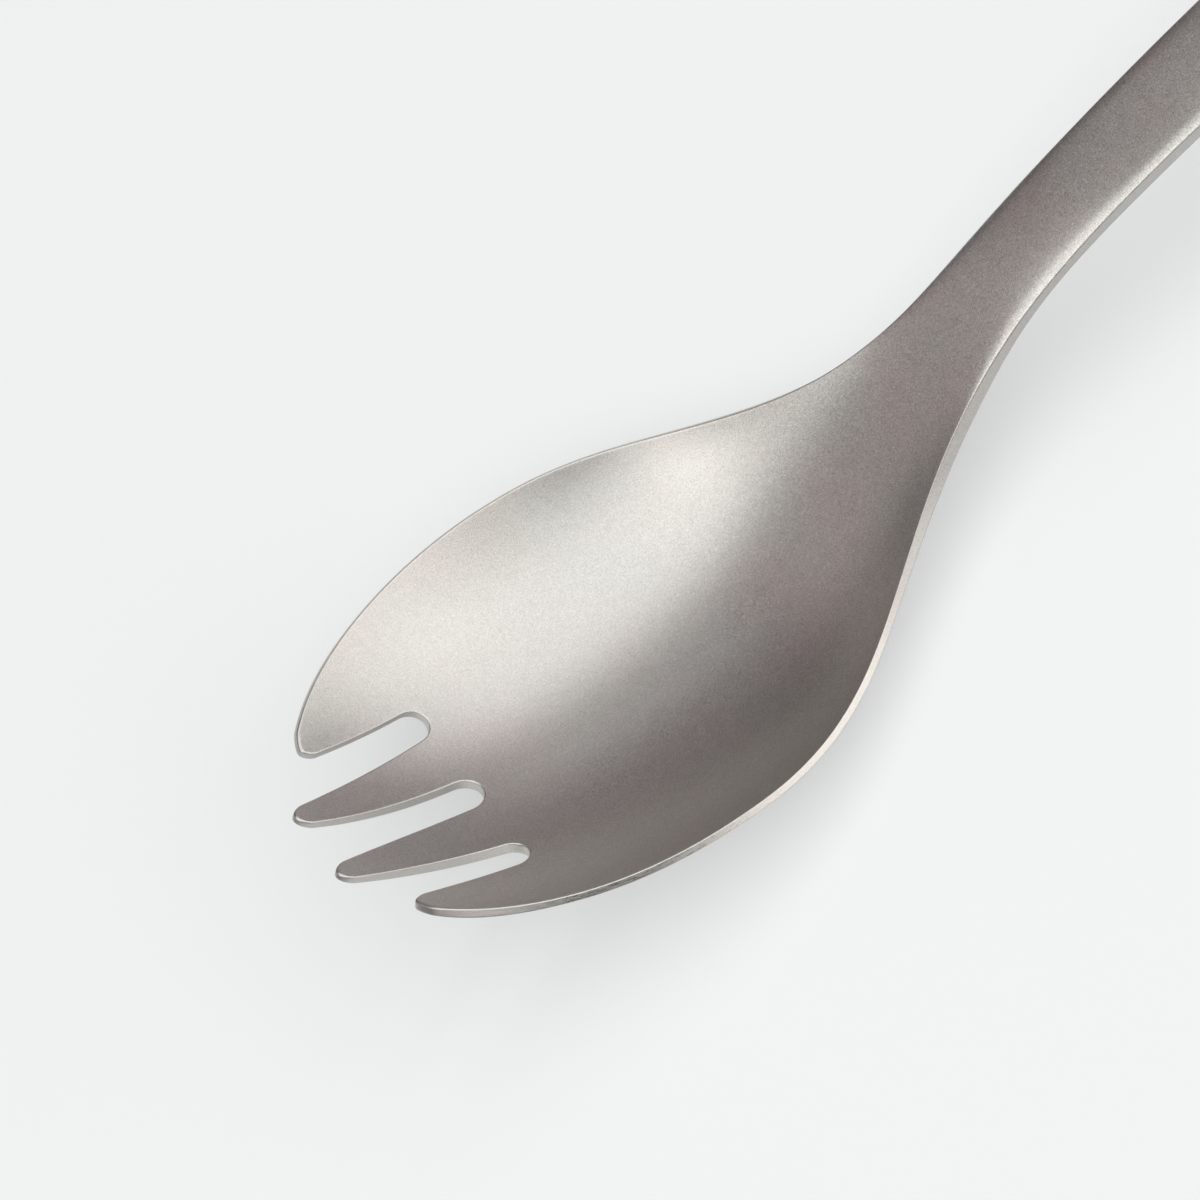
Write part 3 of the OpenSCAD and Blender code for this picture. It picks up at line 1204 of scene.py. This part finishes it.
@dataclass(frozen=True)
class Glow:
    """A soft patch of light from the room.

    Args:
        side: direction from the spork to its middle.
        reach: angle from its middle at which it has faded out, in degrees.
        core: angle within which it is full, in degrees.
        strength: how bright it is.
        colour: its colour.
    """

    side: Triple
    reach: float
    core: float
    strength: float
    colour: Triple

    def add(self, graph: Graph, direction: bpy.types.NodeSocket) -> bpy.types.NodeSocket:
        """Adds the patch to the room's shader.

        Args:
            graph: the shader.
            direction: the direction looked at.

        Returns:
            Socket of the light's colour from that direction.
        """
        middle = {0: direction, 1: Vector(self.side).normalized()}
        product = {"operation": "DOT_PRODUCT"}
        nearness = graph.field("ShaderNodeVectorMath", product, middle, "Value")
        far, near = (math.cos(math.radians(angle)) for angle in (self.reach, self.core))
        light = {0: self.colour, "Scale": nearness.eased(far, near) * self.strength}
        return graph.vector("SCALE", light)


@dataclass(frozen=True)
class PhotoCamera:
    """The photograph's camera, as found from the mirror symmetry of the spork.

    Its turn is given by the directions of the picture's right and lower sides, and lens and
    sensor are in the camera's own millimetres.
    """

    place: Triple = (-22.021 * MM, -257.592 * MM, 413.595 * MM)
    right: Triple = (0.74324, -0.533615, -0.403546)
    down: Triple = (-0.665948, -0.647865, -0.369843)
    lens: float = 180.0
    sensor: float = 36.0
    clip: tuple[float, float] = (10 * MM, 20.0)

    def build(self) -> bpy.types.Object:
        """Makes the camera and looks through it.

        Returns:
            The camera.
        """
        data = bpy.data.cameras.new("photo_camera")
        data.lens = self.lens
        data.sensor_width = self.sensor
        data.clip_start, data.clip_end = self.clip
        camera = linked("photo_camera", data)
        right, down = Vector(self.right).normalized(), Vector(self.down).normalized()
        back = right.cross(-down)
        turn = Matrix((right, back.cross(right), back)).transposed()
        camera.matrix_world = Matrix.Translation(self.place) @ turn.to_4x4()
        bpy.context.scene.camera = camera
        return camera


@dataclass
class Studio:
    """Floor, lamps, surroundings and camera.

    The photograph's background is levelled to one tone. As a share, `shadow_lift`, of what
    the camera sees of the floor, that tone lifts the shadows.
    """

    floor_size: float = 6.0
    floor_colour: Triple = (0.935, 0.955, 0.96)
    paper_glow: Triple = (0.9, 0.92, 0.92)
    shadow_lift: float = 0.45
    boxes: tuple[SoftBox, ...] = (
        SoftBox("key_box", (0.1, -0.19, 0.96), 1.0, (3.0, 1.23), 16.1, (1.0, 1.01, 1.0), 14.0),
        SoftBox("side_box", (-0.66, -0.4, 0.63), 0.9, (0.42, 0.38), 0.5, (1.0, 0.97, 0.93)),
    )
    room_colour: Triple = (1.0, 0.99, 0.965)
    room_light: float = 0.055
    glows: tuple[Glow, ...] = (
        Glow((0.68, -0.71, 0.18), 40, 22, 1.45, (1.0, 0.98, 0.95)),
        Glow((-0.73, 0.5, 0.46), 36, 12, 0.36, (1.0, 0.91, 0.905)),
        Glow((0.75, 0.65, 0.15), 60, 10, 0.2, (1.0, 0.84, 0.86)),
        Glow((-0.3, -0.12, 0.95), 30, 5, 0.16, (1.0, 0.99, 0.97)),
        Glow((-0.2, 0.62, 0.76), 32, 12, 0.15, (1.0, 0.78, 0.8)),
    )

    def floor(self) -> bpy.types.Object:
        """The pale floor."""
        half = self.floor_size / 2
        mesh = bpy.data.meshes.new("floor")
        corners = [(-half, -half, 0), (half, -half, 0), (half, half, 0), (-half, half, 0)]
        mesh.from_pydata(corners, [], [(0, 1, 2, 3)])
        floor = linked("floor", mesh)
        material = bpy.data.materials.new("floor_paper")
        material.use_nodes = True
        graph = Graph(material.node_tree)
        paper = graph.add("ShaderNodeBsdfDiffuse", None, {"Color": (*self.floor_colour, 1.0)})
        glow = graph.add("ShaderNodeEmission", None, {"Color": (*self.paper_glow, 1.0)})
        seen = graph.field("ShaderNodeLightPath", None, None, "Is Camera Ray")
        shaders = {0: seen * self.shadow_lift, 1: paper.outputs[0], 2: glow.outputs[0]}
        shader = graph.add("ShaderNodeMixShader", None, shaders)
        graph.add("ShaderNodeOutputMaterial", None, {"Surface": shader.outputs[0]})
        mesh.materials.append(material)
        return floor

    def surroundings(self) -> None:
        """The light of the room."""
        world = bpy.data.worlds.new("room")
        world.use_nodes = True
        graph = Graph(world.node_tree)
        direction = graph.add("ShaderNodeTexCoord").outputs["Generated"]
        total = tuple(channel * self.room_light for channel in self.room_colour)
        for glow in self.glows:
            total = graph.vector("ADD", {0: total, 1: glow.add(graph, direction)})
        light = graph.add("ShaderNodeBackground", None, {"Color": total})
        graph.add("ShaderNodeOutputWorld", None, {"Surface": light.outputs[0]})
        bpy.context.scene.world = world

    def build(self) -> None:
        """Sets up everything around the spork."""
        self.floor()
        self.surroundings()
        for box in self.boxes:
            box.hang()
        PhotoCamera().build()
        bpy.context.scene.view_settings.view_transform = "Standard"


def main() -> None:
    """Builds the spork and its studio, and reports each piece."""
    logging.basicConfig(level=logging.INFO, format="%(name)s: %(message)s")
    spork = Spork()
    piece = spork.build()
    spork.place(piece)
    log.info("%s: %d triangles", piece.name, sum(len(p.vertices) - 2 for p in piece.data.polygons))
    Studio().build()


if __name__ == "__main__":
    main()
